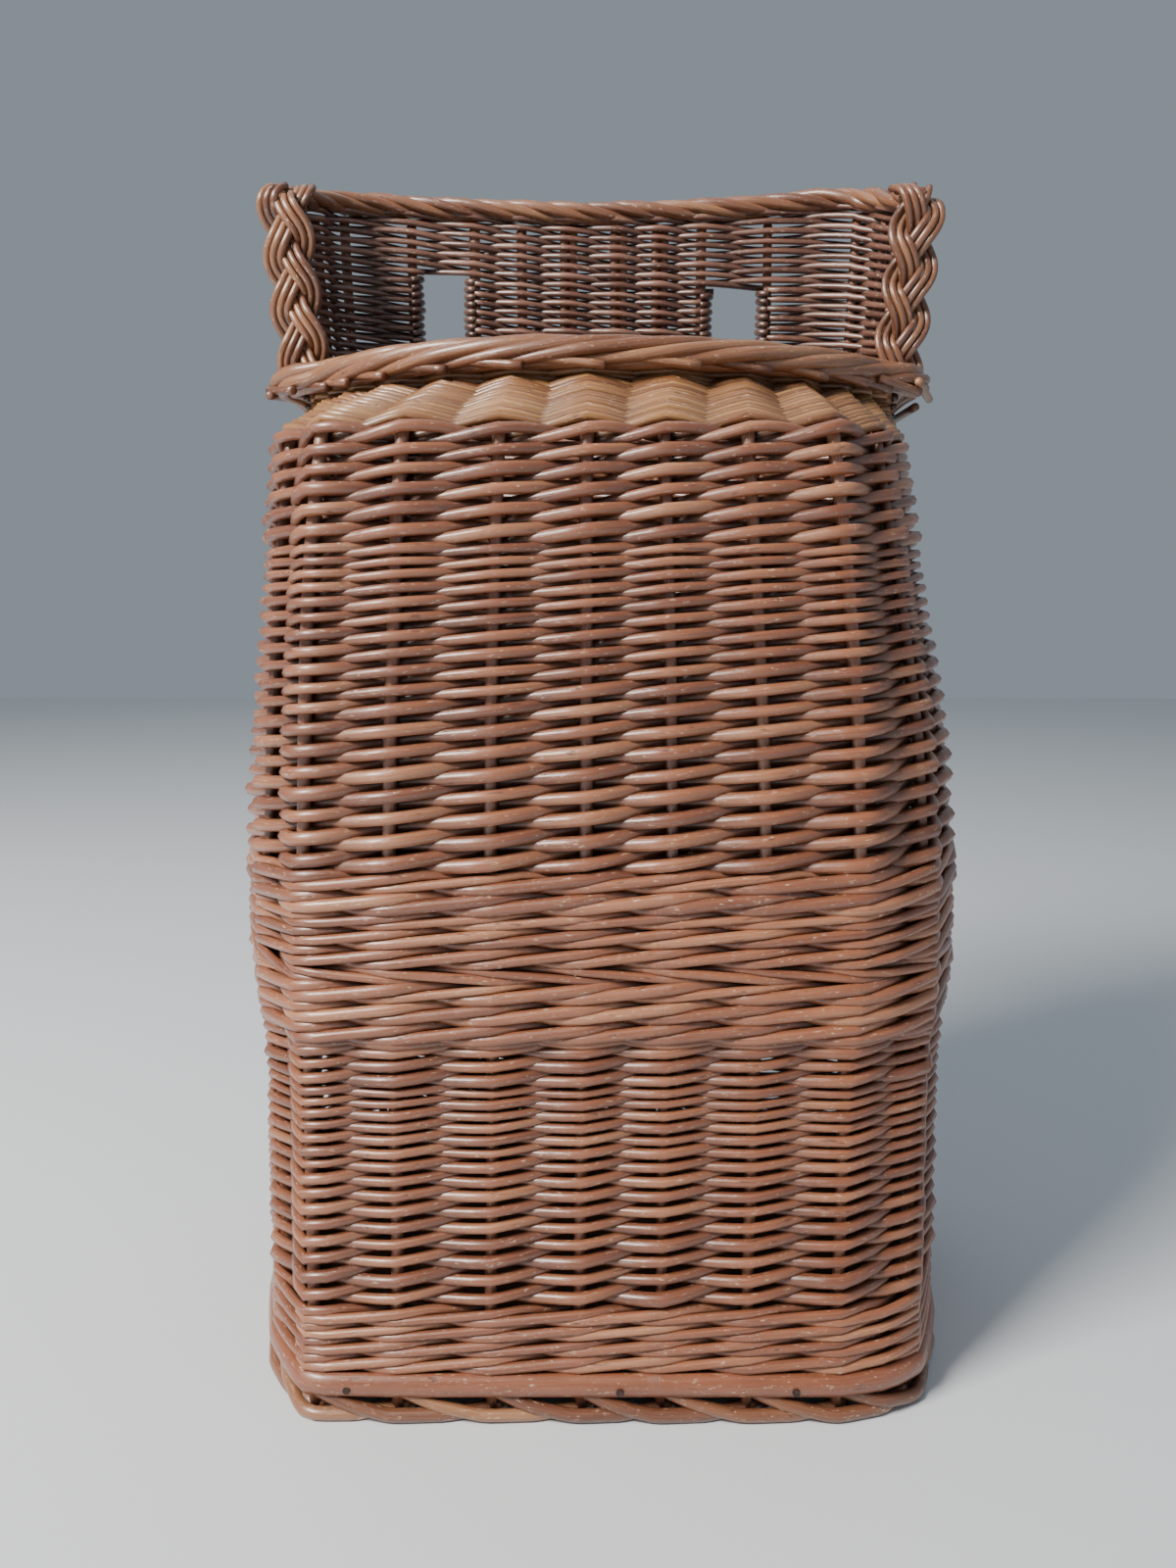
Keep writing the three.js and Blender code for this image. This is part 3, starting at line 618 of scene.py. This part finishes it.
first, last = LEFT_WING - STAKES - 1, RIGHT_WING + 1
u = np.arange(first * FINE, last * FINE + 1) / FINE
outset = np.interp(u, [first, first + 1, first + 2, first + 3, last - 3, last - 2, last - 1, last],
                   [9.5, 15.5, 15.0, 7, 7, 15.0, 15.5, 9.5])
rim_line = plan_line(mouth, first, last, outset, RIM_RISE)
bundle = Bundle()
c, side, lift = rope(bundle, rim_line, half_width=9.8, half_height=8.2, rod_r=3.3, strands=6, pitch=230,
                     curl=9.0)
for i in range(first + 1, last + 1):
    k = int(np.argmin(np.abs(u - i)))
    j = int(np.argmin(np.linalg.norm(c - rim_line[k], axis=1)))
    t = np.cross(lift[j], side[j])
    start = c[j] + side[j] * 2.0 - lift[j] * 3.0 - t * 26
    end = c[j] + side[j] * (7.6 + chance.rand()) - lift[j] * (7.0 + chance.rand())
    end = end + t * (4 + 5 * chance.rand())
    s = np.linspace(0, 1, 6)[:, None]
    bundle.tube(start * (1 - s) + end * s, np.repeat(side[j][None], 6, 0), 2.2 + 0.3 * chance.rand(), sides=9)
bundle.build("rim_rope", border_willow, ["rim_border"])

# ---- Top border -----------------------------------------------------------------------------------------
# The same rope, lighter, along the top of the wings and the back.

TOP_RISE = 7.6  # the rope's middle line, above the top
TOP_OVERHANG = 13  # past each wing's front stake
bundle = Bundle()
line = plan_line(top, RIGHT_WING, LEFT_WING, 0.0, TOP_RISE)
for end, inner in ((0, 3), (-1, -4)):
    onward = line[end] - line[inner]
    onward *= TOP_OVERHANG / np.linalg.norm(onward)
    line = np.vstack([[line[0] + onward], line] if end == 0 else [line, [line[-1] + onward]])
rope(bundle, line, half_width=8.4, half_height=6.3, rod_r=2.9, strands=5, pitch=105, hand=-1)
bundle.build("top_rope", border_willow, ["top_border"])

# ---- Wing plaits ----------------------------------------------------------------------------------------
# The front edge of each wing is finished with a flat plait of three strands, three rods to a strand.

PLAIT_PERIOD = 80.0
PLAIT_SWING = 8.2
PLAIT_DEPTH = 3.6  # how far a strand stands out where it crosses another
ROD_GAP = 4.1  # between the middles of a strand's rods
PLAIT_ROD_R = 2.0
PLAIT_AHEAD = 13  # of the wing's front stake
PLAIT_FOOT_Z = 508.0
PLAIT_HEAD_Z = 597.0
PLAIT_OVER = (0.3, 0.6, 0.9, 1.2, 1.5)  # the angles through which its end bends back over the top


def plait(bundle, line, width_dir, turn):
    """Three strands of three rods, crossing flat along a line. turn is 1, or -1 for the mirrored plait."""
    reach = lengths(line)
    s = np.arange(0, reach[-1], 2.0)
    centre = np.stack([np.interp(s, reach, line[:, k]) for k in range(3)], 1)
    along = np.gradient(centre, axis=0)
    along /= np.linalg.norm(along, axis=1, keepdims=True)
    depth_dir = np.cross(along, width_dir)
    for strand in range(3):
        a = 2 * math.pi * (s / PLAIT_PERIOD + strand / 3) * turn
        x = PLAIT_SWING * (np.sin(a) - 0.12 * np.sin(3 * a))
        slope = np.gradient(x, s)
        cosine = 1 / np.sqrt(1 + slope ** 2)
        for rod in (-1, 0, 1):
            spread = rod * ROD_GAP
            p = centre + along * (-spread * slope * cosine)[:, None]
            p = p + width_dir * (x + spread * cosine)[:, None]
            p = p + depth_dir * (PLAIT_DEPTH * np.sin(2 * a) + 0.5 * (rod == 0))[:, None]
            tip = len(p) - chance.randint(0, 4)
            # Painted shade darkens a strand where it passes under another.
            bundle.tube(p[:tip], depth_dir[:tip], PLAIT_ROD_R * (1 + 0.05 * chance.randn()), sides=8,
                        depth=np.clip(-0.4 * np.sin(2 * a[:tip]), 0, 1))


for name, wing, behind in (("left_wing_plait", LEFT_WING, -1), ("right_wing_plait", RIGHT_WING, 1)):
    ends = []
    for ring, z in ((mouth, PLAIT_FOOT_Z), (top, PLAIT_HEAD_Z)):
        here, back_there = ring[wing * FINE], ring[(wing + behind) * FINE]
        forward = (here - back_there) * (1, 1, 0)
        forward /= np.linalg.norm(forward)
        ends.append(here * (1, 1, 0) + forward * PLAIT_AHEAD + np.array([0, 0, z]))
    width_dir = np.cross(forward, ends[1] - ends[0])
    width_dir /= np.linalg.norm(width_dir)
    over = [ends[1] - forward * 10 * (1 - math.cos(a)) + UP * 8 * math.sin(a) for a in PLAIT_OVER]
    bundle = Bundle()
    plait(bundle, np.array(ends + over), width_dir, behind)
    bundle.build(name + "_rods", border_willow, [name])

# ---- Foot -----------------------------------------------------------------------------------------------
# A split rod, flat inside and round outside, is drawn round the feet of the stakes and nailed on. Under it
# the stakes' ends are laid down slantwise as a border the basket stands on.

# A border rod's height and its distance out of the wall, against the number of stakes it has gone along.
FOOT_HEIGHTS = ([-1, -0.9, -0.6, -0.1, 0.5, 1.15], [14.5, 12.8, 8.2, 3.6, 3.3, 3.6])
FOOT_OUTSETS = ([-1, -0.9, -0.5, 0, 0.5, 0.9, 1.15], [0.5, 3.0, 6.0, 7.0, 5.8, 1.5, -3.5])
FOOT_ROD_R = 3.2
HOOP_Z = 18.6  # the hoop's middle
# The hoop's section: distance out of the wall, and height from its middle.
HOOP_SECTION = [(4.2, 5.9), (4.2, -5.9), (5.6, -6.1), (8.0, -4.6), (9.5, -1.6), (9.5, 1.6), (8.0, 4.6),
                (5.6, 6.1)]

bundle = Bundle()
for i in range(STAKES):
    t = np.linspace(-1, 1.15, 23)
    h = np.interp(t, *FOOT_HEIGHTS)
    out = np.interp(t, *FOOT_OUTSETS)
    p, n = front_wall.at(i + t, h, out + wobble(t, 0.3))
    bundle.tube(p, n, FOOT_ROD_R * (1 + 0.04 * chance.randn()), sides=9)
bundle.build("foot_border_rods", border_willow, ["foot_border"])

hoop_outline, hoop_normals = front_wall.at(np.arange(STAKES * 6) / 6, np.full(STAKES * 6, HOOP_Z))
outs, heights = np.array(HOOP_SECTION).T
bundle = Bundle()
n = hoop_normals * (1, 1, 0)
n /= np.linalg.norm(n, axis=1, keepdims=True)
rows, sides = len(n), len(HOOP_SECTION)
p = hoop_outline[:, None] + n[:, None] * outs[None, :, None] + UP[None, None] * heights[None, :, None]
bundle.faces.append(skin(rows, sides)[:, ::-1])
bundle.verts.append(p.reshape(-1, 3))
along = lengths(hoop_outline)[:, None]
bundle.space.append(np.stack(np.broadcast_arrays(along, outs[None], heights[None]), -1).reshape(-1, 3))
bundle.tint.append(np.full(rows * sides, 0.45))
bundle.depth.append(np.zeros(rows * sides))
hoop_willow = willow("split_willow_hoop", ["#50291a", "#713f29", "#8a5237", "#ab7753"], gloss=0.34)
bundle.build("hoop", hoop_willow, ["base_hoop"])

# ---- Board and nails ------------------------------------------------------------------------------------
# The sawn base board inside the foot, and the iron nails that hold the hoop. Their own solids are shown.


def plain(name, colours, scale, rough, metallic, bump):
    """A material whose tone, roughness and bump follow one stretched noise."""
    material = bpy.data.materials.new(name)
    material.use_nodes = True
    tree = material.node_tree
    shader = tree.nodes["Principled BSDF"]
    place = node(tree, "ShaderNodeTexCoord").outputs["Object"]
    place = node(tree, "ShaderNodeVectorMath", {0: place, 1: scale}, operation="MULTIPLY").outputs[0]
    grain = node(tree, "ShaderNodeTexNoise", {"Vector": place, "Scale": 1.0, "Detail": 4.0}).outputs["Fac"]
    tree.links.new(ramp(tree, grain, [(0.3, colours[0]), (0.7, colours[1])]), shader.inputs["Base Color"])
    tree.links.new(maths(tree, "ADD", maths(tree, "MULTIPLY", grain, 0.3), rough), shader.inputs["Roughness"])
    shader.inputs["Metallic"].default_value = metallic
    bumped = node(tree, "ShaderNodeBump", {"Height": grain, "Strength": bump, "Distance": 0.0004})
    tree.links.new(bumped.outputs["Normal"], shader.inputs["Normal"])
    return material


board_wood = plain("worn_board", ["#4d3425", "#7a583e"], (6.0, 90.0, 90.0), 0.5, 0.0, 0.3)
nail_iron = plain("dark_iron", ["#2b2523", "#5b4a42"], (400.0, 400.0, 400.0), 0.35, 0.8, 0.4)
NAILS = ["front_right", "right_side", "back_right", "back_middle", "back_left", "left_side", "front_left",
         "front_middle"]
for name, material in [("base_board", board_wood)] + [("nail_" + place, nail_iron) for place in NAILS]:
    for held in bpy.data.objects[name].material_slots:
        held.material = material

# ---- Camera, floor and light ----------------------------------------------------------------------------
# The basket stands on a pale floor. A window high on the left lights it, with a weak fill from the right, a
# soft light above and a pale surround.

floor_mesh = bpy.data.meshes.new("floor")
floor_mesh.from_pydata([(-4, -4, 0), (4, -4, 0), (4, 4, 0), (-4, 4, 0)], [], [(0, 1, 2, 3)])
floor = bpy.data.objects.new("floor", floor_mesh)
bpy.context.scene.collection.objects.link(floor)
paper = bpy.data.materials.new("pale_floor")
paper.use_nodes = True
paper.node_tree.nodes["Principled BSDF"].inputs["Base Color"].default_value = linear("#d6dadd")
paper.node_tree.nodes["Principled BSDF"].inputs["Roughness"].default_value = 0.8
floor_mesh.materials.append(paper)


def area_light(name, place, target, size, power, colour):
    light = bpy.data.lights.new(name, "AREA")
    light.shape = "RECTANGLE"
    light.size, light.size_y = size
    light.energy = power
    light.color = linear(colour)[:3]
    lamp = bpy.data.objects.new(name, light)
    bpy.context.scene.collection.objects.link(lamp)
    lamp.location = place
    direction = [t - p for t, p in zip(target, place)]
    lamp.rotation_euler = Vector(direction).to_track_quat("-Z", "Y").to_euler()


area_light("window", (-1.5, -1.2, 1.9), (0, 0, 0.33), (0.9, 0.7), 128, "#fffaf4")
area_light("fill", (1.8, -1.2, 1.0), (0, 0, 0.3), (1.6, 1.6), 3, "#e8f0ff")
area_light("above", (0.0, 0.5, 2.2), (0, 0, 0.3), (1.8, 1.8), 6, "#f4f6ff")

world = bpy.data.worlds.new("studio")
bpy.context.scene.world = world
world.use_nodes = True
world.node_tree.nodes["Background"].inputs["Color"].default_value = linear("#c8d6e2")
world.node_tree.nodes["Background"].inputs["Strength"].default_value = 0.42

lens = bpy.data.cameras.new("camera")
lens.lens = 27
lens.sensor_width = 36
lens.clip_start = 0.01
camera = bpy.data.objects.new("camera", lens)
bpy.context.scene.collection.objects.link(camera)
camera.location = (-0.007, -0.624, 0.392)
camera.rotation_euler = (math.radians(81), 0, 0)
bpy.context.scene.camera = camera
